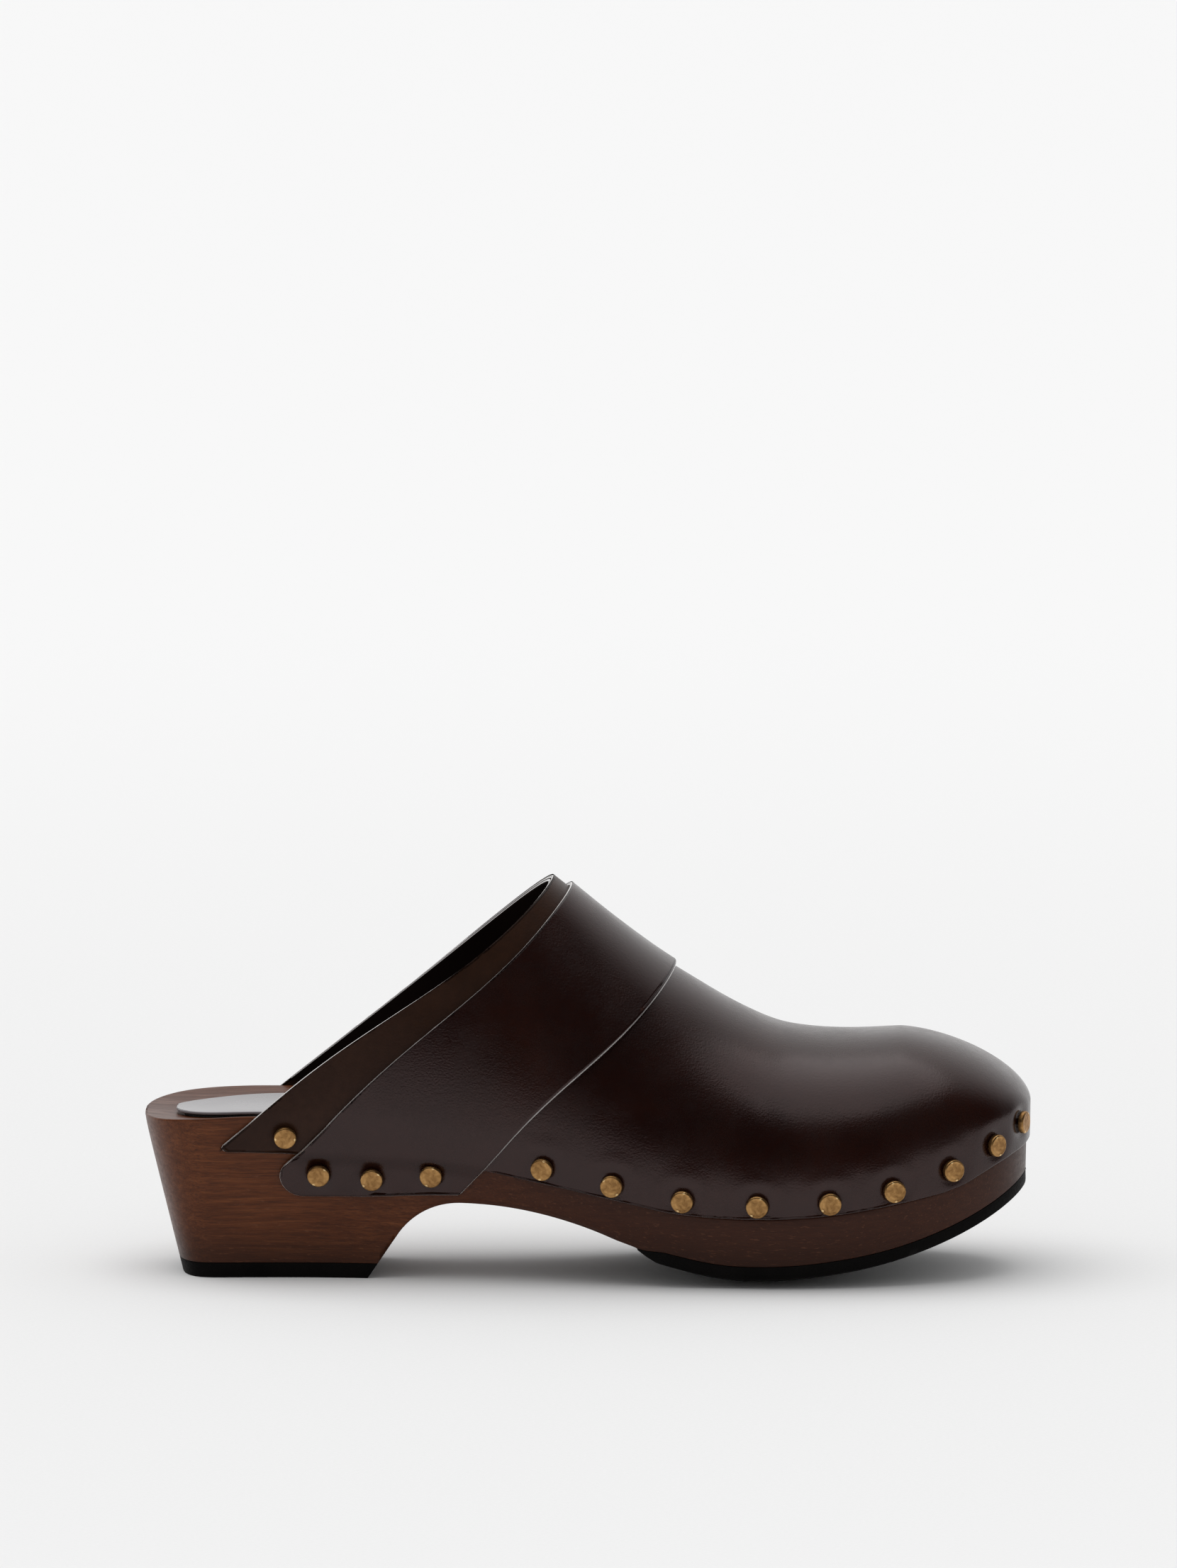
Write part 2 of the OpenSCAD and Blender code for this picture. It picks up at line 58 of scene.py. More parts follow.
# How the wall leans and tucks in under the rim, crown of the underside, hollow of the foot bed
LEAN_K = [(-38.8, 0.245), (20, 0.235), (60, 0.16), (110, 0.06), (190, 0.06), (222.4, 0.02)]
TUCK_K = [(60, 0), (110, 0.02), (180, 0.02), (222.4, 0)]
CROWN_K = [(100, 0), (122, 2.8), (190, 2.4), (222.4, 1.6)]
DIP_K = [(-38.8, 0.2), (-24, 2.6), (0, 3.3), (40, 3.4), (120, 4), (195, 3), (211, 1), (222.4, 0.3)]
# The leather's cut lines: how far they curve, and where they meet the ridge
INNER_CUT, INNER_CUT_L = 6.1, 65
INNER_SWAY_K = [(-5, 1.2), (69, 0)]
SWAY_K = [(-5, 2), (17.5, 1.8), (69, 0.2), (130, 0)]
BEND_K = [(-5, 2.4), (17.5, 1.6), (69, 0.9), (130, 0)]
SPINE_K = [(-5, 81.4), (17.5, 85.8), (69, 117.2), (130, 147), (180, 169), (222.4, 186)]

HEEL_X, HEEL_A, HEEL_N = -14.8, 24, 2.5
BACK_X = HEEL_X - HEEL_A
TOE_TIP, TOE_N = 222.4, 2.4
OUTER_TOE_X, INNER_TOE_X = 145, 165
CREST_X, CREST_N = 185, 1.56
CROWN_Y, CROWN_INSET = 44, 5
SOFT_D, TUCK_D = 4, 10

# Lengths of sole over which one shape passes into the next: start and length
FORE_X, FORE_L = 120, 60
SHELF_X, SHELF_L = 60, 60
STRAIGHT_X, STRAIGHT_L = 70, 80
WAIST_X, WAIST_L, WAIST_END_X, WAIST_END_L = 34, 12, 92, 14

# Section of the dome: power of its superellipse at the back, and what the forefoot adds
SECTION_N, SECTION_GAIN = 2, 0.15

# Underside
BREAST_X, BREAST_SLOPE = 27.1, 1.54
NOTCH_X, NOTCH_Z, NOTCH_R, NOTCH_DEG = 54.8, 1.3, 22.5, 30
ARCH_R = 114
ROCKER_X, ROCKER_BACK_R, ROCKER_FRONT_R = 142, 75, 134
OUTSOLE_X = 106.4
LIFT_T, OUTSOLE_T, OUTSOLE_REAR_T = 4.6, 4.0, 2.4
THICKEN_L, FEATHER_L, TREAD_SHARE = 9, 3, 0.97
CHAMFER, RIM_EDGE = 1.1, 0.4
WALL_START, SHELF_DROP, SHELF_STEP = 0.3, 0.25, 0.2

# Leather
LEATHER_T, LINING_T, TOE_SHELF, GAP = 1.6, 1.0, 0.65, 0.08
BAND_GAP, HEAD_GAP = 0.15, 0.12
MOUTH_X, BAND_X, BAND_FRONT_X, SEAM_X = -5, 17.5, 69, 44
SEAM_GAP, MOUTH_GAP, LINING_START = 0.4, 0.4, 0.02
BAND_CORNER_Z, BAND_CORNER_R = 31.3, 5.6
TAIL_CORNER_Z, TAIL_CORNER_R = 40.6, 1.2
CORNER_DEG = 44
BAND_FOOT, BAND_FOOT_RISE_X, BAND_FOOT_RISE_L = 25.7, 45, 24
FLARE_DROP, FLARE_L = 3, 5

# Studs on the outer side, (x, z); the inner side mirrors them
STUD_D, STUD_HEAD_T, SHANK_L, SHANK_R, STUD_SIDES = 6.6, 1.6, 7, 0.9, 72
STUDS = {
    "collar_stud": [(3.6, 44.1)],
    "band_stud": [(13.3, 32.5), (28.9, 31.4), (46.4, 32.7)],
    "vamp_stud": [(79.4, 35.7), (99.7, 31.3), (120.3, 27.1), (142.3, 25.9), (163.4, 26.7),
                  (182.1, 30), (199.2, 35.2), (211.7, 41.2), (219.4, 46.3)],
}
# Leather round a stud: height, radius and width of the swelling, depth and radius of the dimple
SWELL, SWELL_R, SWELL_W = 0.16, 7, 2.4
DIMPLE, DIMPLE_R = 0.42, 4.3

# Heel pad
SOCK_X = (-29, 70)
SOCK_W, SOCK_T, FOAM_T, SOCK_N = 19.5, 0.9, 0.8, 2.6

# Rounded edges: radius by piece, and the angles that count as an edge
STRAP_ROUND, VAMP_ROUND, LINING_ROUND = 0.8, 0.5, 0.3
RUBBER_ROUND, SOCK_ROUND, WOOD_ROUND = 0.35, 0.35, 0.25
SOLE_DEG, SOCK_DEG = 28, 50

# Mesh density: steps along the foot, up each side to the ridge, and below the rim
VAMP_GRID = (120, 56, 18)
COLLAR_GRID = (60, 90, 18)
BAND_GRID = (56, 80, 26)
LINING_GRID = (110, 60, 0)
HEEL_STEPS, ARCH_STEPS, FORE_STEPS = 46, 60, 80
WALL_STEPS, LIFT_STEPS, BED_COLS, BOTTOM_COLS = 10, 4, 28, 24
SOCK_STEPS, SOCK_COLS = 96, 40


# ---- curves ----
def ease(t):
    """Smooth step from 0 to 1."""
    c = np.clip(t, 0, 1)
    return c * c * (3 - 2 * c)


def spline(keys, x):
    """Smooth curve through the key points, flat beyond its ends."""
    k = np.array(keys, float)
    kx, kv = k[:, 0], k[:, 1]
    x = np.clip(np.asarray(x, float), kx[0], kx[-1])
    i = np.clip(np.searchsorted(kx, x, side="right") - 1, 0, len(kx) - 2)
    before = np.maximum(np.arange(len(kx)) - 1, 0)
    after = np.minimum(np.arange(len(kx)) + 1, len(kx) - 1)
    m = (kv[after] - kv[before]) / (kx[after] - kx[before])
    h = kx[i + 1] - kx[i]
    t = (x - kx[i]) / h
    u = 1 - t
    return (kv[i] * (1 + 2 * t) * u * u + m[i] * h * t * u * u
            + kv[i + 1] * t * t * (3 - 2 * t) - m[i + 1] * h * t * t * u)


def cap(u, n):
    """Quarter superellipse: 1 where an end cap starts, 0 at its tip."""
    return np.maximum(1 - np.clip(u, 0, 1) ** n, 0) ** (1 / n)


def half_w(x, side):
    """Half width of the rim on one side."""
    def toe(start):
        return np.where(x > start, cap((x - start) / (TOE_TIP - start), TOE_N), 1)

    outer = spline(OUTER_K, x) * toe(OUTER_TOE_X)
    inner = spline(INNER_K, x) * toe(INNER_TOE_X)
    heel = np.where(x < HEEL_X, cap((HEEL_X - x) / HEEL_A, HEEL_N), 1)
    return np.where(side < 0, outer, inner) * heel


def rim(x):
    return spline(RIM_K, x)


def margin(x):
    return spline(MARGIN_K, x)


def ridge(x):
    end, top = RIM_K[-1][1], RIDGE_K[-1][1]
    front = end + (top - end) * cap((x - CREST_X) / (TOE_TIP - CREST_X), CREST_N)
    return np.where(x < CREST_X, spline(RIDGE_K, x), front)


def rise(x):
    return np.maximum(ridge(x) - rim(x), 0.001)


def sec_n(x):
    return SECTION_N + SECTION_GAIN * ease((x - FORE_X) / FORE_L)


# Step of the finite differences, and the slope used at the two ends of the outline
STEP, STEEP = 0.02, 500


def d_half(x, side):
    d = (half_w(x + STEP, side) - half_w(x - STEP, side)) / (2 * STEP)
    return np.where(x > TOE_TIP - STEP, -STEEP, np.where(x < BACK_X + STEP, STEEP, d))


def plan_n(x, side):
    """Outward normal of the rim's outline, seen from above."""
    n = np.stack(np.broadcast_arrays(-d_half(x, side), side * 1.0), -1)
    return n / np.linalg.norm(n, axis=-1, keepdims=True)


def draw_in(x, d):
    """How far the wall has drawn in at depth d below the rim."""
    soft = (d + np.sqrt(d * d + SOFT_D ** 2)) / 2
    return spline(LEAN_K, x) * soft + spline(TUCK_K, x) * np.maximum(d - TUCK_D, 0) ** 2


def draw_rate(x, d):
    """Slope of draw_in over the depth."""
    lean = spline(LEAN_K, x) * (1 + d / np.sqrt(d * d + SOFT_D ** 2)) / 2
    return lean + 2 * spline(TUCK_K, x) * np.maximum(d - TUCK_D, 0)


# ---- the clog's surface: wooden wall below the rim, foot-shaped dome above it ----
def skin(x, side, c, z, o=0.0):
    """Point at station x, share c of the half width and height z, moved out by o; and its normal."""
    x, side, c, z, o = np.broadcast_arrays(x, side, c, z, o)
    n = sec_n(x)
    q = np.clip((z - rim(x)) / rise(x), 0, 1)
    w = np.maximum(half_w(x, side), 0.001)
    pn = plan_n(x, side)
    d = rim(x) - z
    on_dome = q > 0
    d_rim = (rim(x + STEP) - rim(x - STEP)) / (2 * STEP)
    d_rise = (rise(x) - rise(x - STEP)) / STEP
    r = rise(x)
    gx = (-np.where(on_dome, c ** n, 1) * d_half(x, side)
          - w * (q ** (n - 1) / r * d_rim + q ** n * d_rise / r))
    gy = side * np.where(on_dome, c ** (n - 1), 1)
    gz = w * q ** (n - 1) / r
    g = np.stack([gx, gy, gz], -1)
    g /= np.linalg.norm(g, axis=-1, keepdims=True)
    g[..., 2] -= draw_rate(x, d) * np.hypot(g[..., 0], g[..., 1])
    g /= np.linalg.norm(g, axis=-1, keepdims=True)
    inset = draw_in(x, d)
    p = np.stack([x - inset * pn[..., 0], side * w * c - inset * pn[..., 1], z], -1)
    return p + o[..., None] * g, g


def share(x, z):
    """Share of the half width that the section still has at height z."""
    n = sec_n(x)
    q = np.clip((z - rim(x)) / rise(x), 0, 1)
    return np.maximum(1 - q ** n, 0) ** (1 / n)


def wall(x, side, z, o=0.0):
    return skin(x, side, share(x, z), z, o)[0]


def dome(x, side, c, o=0.0):
    n = sec_n(x)
    return skin(x, side, c, rim(x) + rise(x) * np.maximum(1 - c ** n, 0) ** (1 / n), o)


def straightness(xo):
    """1 where the cut lines run straight in side view, 0 where they lie across the toe."""
    return 1 - ease((xo - STRAIGHT_X) / STRAIGHT_L)


def crossing(xo, side):
    """Where line xo crosses the rim: the mouth is cut further forward on the inner side."""
    return xo + np.where(side > 0, INNER_CUT * (1 - ease((xo - MOUTH_X) / INNER_CUT_L)), 0)


def sway(xo, side):
    return np.where(side > 0, spline(INNER_SWAY_K, xo), spline(SWAY_K, xo))


def bend(xo, side):
    return np.where(side > 0, 0, spline(BEND_K, xo))


def climb(xo, side, t, o=0.0):
    """Point of the line that crosses the rim at xo, t of the way up to the ridge."""
    xr = crossing(xo, side)
    xs = spline(SPINE_K, xo)
    a = t * math.pi / 2
    n = sec_n(xo)
    f = np.sin(a) ** (2 / n)
    xa = (xr + (xs - xr) * f + sway(xo, side) * np.sin(math.pi * f)
          - bend(xo, side) * np.sin(2 * math.pi * f))
    ya = half_w(xa, side) * share(xa, rim(xr) + (ridge(xs) - rim(xr)) * f)
    r = np.maximum(np.cos(a), 0) ** (2 / n)
    xb = xs + (xr - xs) * r
    yb = half_w(xr, side) * r
    k = straightness(xo)
    x = k * xa + (1 - k) * xb
    y = k * ya + (1 - k) * yb
    c = np.clip(y / np.maximum(half_w(x, side), 0.001), 0, 1)
    return dome(x, side, c, o)


def drop(xo, side, z, o=0.0):
    """Point of the same line where it runs on down the wall to height z."""
    xr = crossing(xo, side)
    xs = spline(SPINE_K, xo)
    slip = math.pi * (sway(xo, side) - 2 * bend(xo, side))
    run = (xs - xr + slip) / (ridge(xs) - rim(xr))
    x = xr - straightness(xo) * run * (rim(xr) - z)
    return skin(x, side, share(x, z), z, o)


def shelf(x):
    """How deep the wood is cut back under the upper."""
    return TOE_SHELF * ease((x - SHELF_X) / SHELF_L)


def proud(x):
    """How far the upper's outer face stands outside the wood."""
    return LEATHER_T + GAP - shelf(x)


# ---- underside ----
HEEL_STOP = BREAST_X + LIFT_T / BREAST_SLOPE


def tread(x):
    """Height of the forefoot's rocker above the floor."""
    d = x - ROCKER_X
    r = np.where(d < 0, ROCKER_BACK_R, ROCKER_FRONT_R)
    return r - np.sqrt(np.maximum(r * r - d * d, 0))


def wood_under(x):
    """Height of the wood's underside on the middle line: heel, breast, notch, arch, forefoot."""
    d = x - NOTCH_X
    breast = (x - BREAST_X) * BREAST_SLOPE
    notch = NOTCH_Z + np.sqrt(np.maximum(NOTCH_R ** 2 - d * d, 0))
    arch = NOTCH_Z + NOTCH_R - ARCH_R + np.sqrt(np.maximum(ARCH_R ** 2 - d * d, 0))
    thicken = (OUTSOLE_T - OUTSOLE_REAR_T) * ease((x - OUTSOLE_X) / THICKEN_L)
    fore = tread(x) + OUTSOLE_REAR_T + thicken
    notch_start = NOTCH_X - NOTCH_R * math.cos(math.radians(NOTCH_DEG))
    return np.select([x < HEEL_STOP, x < notch_start, x < NOTCH_X, x < OUTSOLE_X],
                     [np.full_like(x, LIFT_T), breast, notch, arch], fore)


def crown(x, y):
    return spline(CROWN_K, x) * np.minimum(np.abs(y) / CROWN_Y, 1) ** 4


def read_x(x, px):
    """Where the underside's height is read: at the station, and at the point itself by the toe."""
    return x + (px - x) * ease((x - FORE_X) / FORE_L)


def wood_edge(x, side):
    """Lower edge of the wooden wall."""
    first = wood_under(x) + crown(x, half_w(x, side) - CROWN_INSET)
    p = wall(x, side, first)
    px = x - draw_in(x, rim(x) - first) * plan_n(x, side)[..., 0]
    return wall(x, side, wood_under(read_x(x, px)) + crown(x, p[..., 1]))


def bed(x, s):
    """Hollow top of the wood, s from -1 to 1 across it."""
    return rim(x) - spline(DIP_K, x) * (1 - s * s)


# ---- meshes ----
def make(name, points, faces, smooth=True, edges_from=None):
    """Mesh object from millimetre points; faces from edges_from on use the second material."""
    mesh = bpy.data.meshes.new(name)
    mesh.from_pydata((np.asarray(points) * MM).tolist(), [], faces)
    mesh.validate()
    mesh.update()
    obj = bpy.data.objects.new(name, mesh)
    bpy.context.scene.collection.objects.link(obj)
    mesh.polygons.foreach_set("use_smooth", [smooth] * len(mesh.polygons))
    if edges_from is not None:
        slots = [int(i >= edges_from) for i in range(len(mesh.polygons))]
        mesh.polygons.foreach_set("material_index", slots)
    return obj


def round_edges(obj, width, angle=40, segments=4, cut_edge=False):
    """Rounds the sharp edges of a piece and bakes the result into its mesh."""
    mod = obj.modifiers.new("edges", "BEVEL")
    mod.width = width * MM
    mod.segments = segments
    mod.limit_method = "ANGLE"
    mod.angle_limit = math.radians(angle)
    mod.use_clamp_overlap = False
    mod.harden_normals = False
    mod.material = 1 if cut_edge else -1
    with bpy.context.temp_override(object=obj, active_object=obj, selected_objects=[obj]):
        bpy.ops.object.modifier_apply(modifier=mod.name)
    obj.data.polygons.foreach_set("use_smooth", [True] * len(obj.data.polygons))
    return obj


def shell(name, outside, inside, tip=False):
    """Closed sheet between two grids; a closed tip's last row is folded onto itself."""
    rows, cols = outside.shape[0] - 1, outside.shape[1] - 1
    half = cols // 2
    used = [(i, j) for i in range(rows + 1) for j in range(cols + 1)
            if not (tip and i == rows and j > half)]
    size = len(used)
    points = [grid[i, j] for grid in (outside, inside) for i, j in used]

    def at(i, j):
        return i * (cols + 1) + (cols - j if tip and i == rows and j > half else j)

    faces, edges = [], []
    for i in range(rows):
        for j in range(cols):
            a, b, c, d = at(i, j), at(i + 1, j), at(i + 1, j + 1), at(i, j + 1)
            faces.append((a, d, c, b))
            faces.append((size + a, size + b, size + c, size + d))
        for j, turn in ((0, 1), (cols, -1)):
            edges.append((at(i, j), at(i + 1, j), size + at(i + 1, j), size + at(i, j))[::turn])
    for j in range(cols):
        edges.append((at(0, j), size + at(0, j), size + at(0, j + 1), at(0, j + 1)))
        if not tip:
            edges.append((at(rows, j), at(rows, j + 1), size + at(rows, j + 1), size + at(rows, j)))
    return make(name, points, faces + edges, edges_from=len(faces))


def loft(name, rings):
    """Closed solid through rings of points, with a flat end at each side."""
    count, n = rings.shape[:2]
    faces = []
    for i in range(count - 1):
        for j in range(n):
            k = (j + 1) % n
            faces.append((i * n + j, i * n + k, (i + 1) * n + k, (i + 1) * n + j))
    faces.append(tuple(range(n))[::-1])
    faces.append(tuple((count - 1) * n + j for j in range(n)))
    return make(name, rings.reshape(-1, 3), faces)


# ---- studs: places on the leather ----
def seat(kind, x):
    """Distance of the leather's face from the wood under a stud."""
    return LEATHER_T + BAND_GAP + GAP if kind == "band_stud" else float(proud(x))


def stud_places():
    """Every stud as (CAD node, foot on the leather, outward normal)."""
    found = []
    for kind, spots in STUDS.items():
        for side, word in ((OUTER, "outer"), (INNER, "inner")):
            for i, (x, z) in enumerate(spots):
                foot, normal = skin(np.float64(x), side, share(np.float64(x), z), z)
                number = "" if len(spots) == 1 else f"_{i + 1}"
                found.append((f"{kind}_{word}{number}", foot + seat(kind, x) * normal, normal))
    return found


PLACES = stud_places()


def pucker(points):
    """Leather is drawn in under each stud's head and swells a little round it."""
    push = np.zeros(points.shape[:-1])
    for _, foot, _ in PLACES:
        d = np.linalg.norm(points - foot, axis=-1)
        push += SWELL * np.exp(-((d - SWELL_R) / SWELL_W) ** 2) - DIMPLE * np.exp(-(d / DIMPLE_R) ** 6)
    return push


# ---- upper ----
def upper_grid(lines, feet, o, grid, flare=0.0, first=0.0, worked=False):
    """Rows of points from the outer foot edge over the ridge to the inner foot edge."""
    _, rows, wall_rows = grid
    xo, foot, out = lines[:, None], feet[:, None], o[:, None]
    halves = []
    for side in (OUTER, INNER):
        parts = []
        if wall_rows:
            z = foot + (rim(xo) - foot) * np.arange(wall_rows)[None, :] / wall_rows
            spread = 1 - ease((z - margin(xo) + FLARE_DROP) / FLARE_L)
            parts.append(drop(xo, side, z, out - flare * spread))
        t = np.maximum(np.arange(rows + 1)[None, :] / rows, first)
        parts.append(climb(xo + 0 * t, side, t + 0 * xo, out + 0 * t))
        points = np.concatenate([p for p, _ in parts], 1)
        if worked:
            normals = np.concatenate([n for _, n in parts], 1)
            points = points + pucker(points)[..., None] * normals
        halves.append(points)
    return np.concatenate([halves[0], halves[1][:, -2::-1]], 1)


def graded(start, end, n, power=1.3):
    """Stations from start to end, closer together near the start."""
    return start + (end - start) * (np.arange(n + 1) / n) ** power


def fan(start, n):
    """Stations from start to the tip of the toe, closer together near the tip."""
    u = 1 - np.arange(n + 1) / n
    return TOE_TIP - (TOE_TIP - start) * u * u


def corner_z(cz, r, d, foot):
    """Foot height at a lower corner of radius r round height cz, d from the rear edge."""
    a = math.radians(CORNER_DEG)
    k = r - d * math.sin(a)
    arc = cz + k * math.cos(a) - np.sqrt(np.maximum(r * r - k * k, 0)) * math.sin(a)
    return np.where(k > -r * math.cos(a), arc, foot)


def make_vamp():
    lines = fan(SEAM_X, VAMP_GRID[0])
    feet, o = margin(lines), proud(lines)
    outside = upper_grid(lines, feet, o, VAMP_GRID, worked=True)
    inside = upper_grid(lines, feet, o - LEATHER_T, VAMP_GRID)
    sheet = shell("vamp_leather", outside, inside, tip=True)
    return round_edges(sheet, VAMP_ROUND, cut_edge=True)


def make_collar():
    lines = graded(MOUTH_X, SEAM_X - SEAM_GAP, COLLAR_GRID[0])
    low = margin(lines)
    feet = np.maximum(corner_z(TAIL_CORNER_Z, TAIL_CORNER_R, lines - MOUTH_X, low), low)
    o = proud(lines)
    outside = upper_grid(lines, feet, o, COLLAR_GRID, worked=True)
    inside = upper_grid(lines, feet, o - LEATHER_T, COLLAR_GRID)
    return round_edges(shell("collar_strap_leather", outside, inside), STRAP_ROUND, cut_edge=True)


def make_band():
    lines = graded(BAND_X, BAND_FRONT_X, BAND_GRID[0])
    low = BAND_FOOT + ease((lines - BAND_FOOT_RISE_X) / BAND_FOOT_RISE_L)
    feet = corner_z(BAND_CORNER_Z, BAND_CORNER_R, lines - BAND_X, low)
    o = proud(lines) + BAND_GAP
    outside = upper_grid(lines, feet, o + LEATHER_T, BAND_GRID, flare=LEATHER_T, worked=True)
    inside = upper_grid(lines, feet, o, BAND_GRID, flare=LEATHER_T)
    return round_edges(shell("instep_band_leather", outside, inside), STRAP_ROUND, cut_edge=True)


def make_lining():
    lines = fan(MOUTH_X + MOUTH_GAP, LINING_GRID[0])
    o = proud(lines) - LEATHER_T - GAP
    outside = upper_grid(lines, rim(lines), o, LINING_GRID, first=LINING_START)
    inside = upper_grid(lines, rim(lines), o - LINING_T, LINING_GRID, first=LINING_START)
    sheet = shell("lining_leather", outside, inside, tip=True)
    return round_edges(sheet, LINING_ROUND, cut_edge=True)


# ---- sole ----
# Stations stop this far inside the sharp ends of the outline
END_GAP = 0.002


def heel_stations():
    return np.maximum(graded(BACK_X, HEEL_STOP, HEEL_STEPS, 1.7), BACK_X + END_GAP)


def fore_stations():
    return fan(OUTSOLE_X, FORE_STEPS)[1:] - END_GAP


def bottom_rows(x):
    """The wood's underside, one row of points from the outer to the inner edge per station."""
    a, b = wood_edge(x, OUTER), wood_edge(x, INNER)
    s = np.linspace(-1, 1, BOTTOM_COLS + 1)[None, :]
    p = a[:, None] + (b - a)[:, None] * ((s + 1) / 2)[..., None]
    x2 = x[:, None] + 0 * s
    z = wood_under(read_x(x2, p[..., 0])) + crown(x2, p[..., 1])
    z[:, 0], z[:, -1] = a[:, 2], b[:, 2]
    return np.stack([p[..., 0], p[..., 1], z], -1)


def make_sole():
    """Carved wood: underside, walls with a chamfered waist and a cut-back shelf, hollow bed."""
    arch = graded(HEEL_STOP, OUTSOLE_X, ARCH_STEPS, 1.15)[1:]
    x = np.concatenate([heel_stations(), arch, fore_stations()])
    under = bottom_rows(x)
    cut = CHAMFER * ease((x - WAIST_X) / WAIST_L) * (1 - ease((x - WAIST_END_X) / WAIST_END_L))
    o = -shelf(x)
    under[:, 0, 1] += cut
    under[:, -1, 1] -= cut
    top = margin(x) - SHELF_DROP
    ledge = top + SHELF_STEP
    edge = rim(x) - RIM_EDGE
    cols = []
    for side in (OUTER, INNER):
        foot = wood_edge(x, side)[:, 2] + cut + WALL_START
        levels = [wall(x, side, foot + (top - foot) * t) for t in np.linspace(0, 1, WALL_STEPS + 1)]
        levels += [wall(x, side, ledge + (edge - ledge) * t, o) for t in (0, 0.33, 0.66, 1)]
        levels.append(wall(x, side, rim(x), o - RIM_EDGE))
        cols.append(np.stack(levels, 1))
    a, b = cols[0][:, -1], cols[1][:, -1]
    s = np.linspace(-1, 1, BED_COLS + 1)[None, 1:-1]
    p = a[:, None] + (b - a)[:, None] * ((s + 1) / 2)[..., None]
    hollow = np.stack([p[..., 0], p[..., 1], bed(x[:, None] + 0 * s, s)], -1)
    rings = np.concatenate([under[:, ::-1], cols[0], hollow, cols[1][:, ::-1]], 1)
    return round_edges(loft("wooden_sole_shaped", rings), WOOD_ROUND, angle=SOLE_DEG)


def make_lift():
    """Rubber under the heel, its front face sloped on in line with the wood."""
    x = heel_stations()
    low = BACK_X + (BREAST_X - BACK_X) * (x - BACK_X) / (HEEL_STOP - BACK_X)
    sides = []
    for side in (OUTER, INNER):
        levels = [wall(low + (x - low) * t, side, LIFT_T * t)
                  for t in np.linspace(0, 1, LIFT_STEPS + 1)[:-1]]
        edge = wood_edge(x, side)
        levels.append(np.stack([edge[:, 0], edge[:, 1], 0 * x + LIFT_T], -1))
        sides.append(np.stack(levels, 1))
    rings = np.concatenate([sides[0], sides[1][:, ::-1]], 1)[:, ::-1]
    return round_edges(loft("heel_lift_rubber", rings), RUBBER_ROUND, angle=SOLE_DEG)


def make_outsole():
    """Rubber under the forefoot, feathered at its rear end."""
    x = np.concatenate([[OUTSOLE_X], fore_stations()])
    top = bottom_rows(x)
    depth = (wood_under(x) - tread(x)) * ease((x - OUTSOLE_X + FEATHER_L) / THICKEN_L)
    mid = (top[:, :1] + top[:, -1:]) / 2
    low = top.copy()
    low[..., :2] = mid[..., :2] + (top[..., :2] - mid[..., :2]) * TREAD_SHARE
    low[..., 2] -= depth[:, None]
    rings = np.concatenate([top, low[:, ::-1]], 1)
    return round_edges(loft("forefoot_outsole_rubber", rings), RUBBER_ROUND, angle=SOLE_DEG)


def make_sock():
    """Leather pad: a closed sheet of even thickness with a turned edge."""
    mid, a = sum(SOCK_X) / 2, (SOCK_X[1] - SOCK_X[0]) / 2
    base = 2 * GAP + FOAM_T
    x = mid - a * np.cos(np.pi * np.arange(1, SOCK_STEPS) / SOCK_STEPS)
    w = SOCK_W * cap(np.abs(x - mid) / a, SOCK_N)
    y = w[:, None] * np.linspace(-1, 1, SOCK_COLS + 1)[None, :]
    s = y / ((half_w(x, OUTER) + half_w(x, INNER)) / 2)[:, None]
    z = bed(x[:, None] + 0 * y, s)
    low = np.stack([x[:, None] + 0 * y, y, z + base], -1)
    high = low + np.array([0, 0, SOCK_T])
    rings = np.concatenate([low[:, ::-1], high], 1)
    return round_edges(loft("heel_sock_leather", rings), SOCK_ROUND, angle=SOCK_DEG)


def make_stud(node, foot, normal, turn):
    """Lathed head with a turned rim and a faintly domed face, on its shank."""
    r, t, sides = STUD_D / 2, STUD_HEAD_T, STUD_SIDES
    # Radius and height, from the shank's point over the rim to the middle of the face
    profile = [(0, -SHANK_L), (0.5, 0.8 - SHANK_L), (SHANK_R, 2.4 - SHANK_L), (SHANK_R, 0),
               (r - 0.12, 0), (r - 0.03, 0.05), (r, 0.16), (r, t - 0.5), (r - 0.06, t - 0.3),
               (r - 0.2, t - 0.13), (r - 0.4, t - 0.03), (r - 0.56, t - 0.01), (r - 0.7, t - 0.05),
               (r * 0.6, t - 0.02), (r * 0.3, t + 0.02), (0, t + 0.03)]
    angles = [2 * math.pi * k / sides for k in range(sides)]
    points = [(0, 0, profile[0][1])]
    for radius, z in profile[1:-1]:
        points += [(radius * math.cos(a), radius * math.sin(a), z) for a in angles]
    points.append((0, 0, profile[-1][1]))
    faces = []
    rings = len(profile) - 2
    for k in range(sides):
        n = (k + 1) % sides
        faces.append((0, 1 + n, 1 + k))
        for i in range(rings - 1):
            a, b = 1 + i * sides, 1 + (i + 1) * sides
            faces.append((a + k, a + n, b + n, b + k))
        last = 1 + (rings - 1) * sides
        faces.append((last + k, last + n, len(points) - 1))
    obj = make(node.replace("_stud", "_nail"), points, faces)
    obj.location = Vector(foot + HEAD_GAP * normal) * MM
    spin = Vector((0, 0, 1)).rotation_difference(Vector(normal))
    obj.rotation_mode = "QUATERNION"
    obj.rotation_quaternion = spin @ Quaternion((0, 0, 1), turn)
    return obj


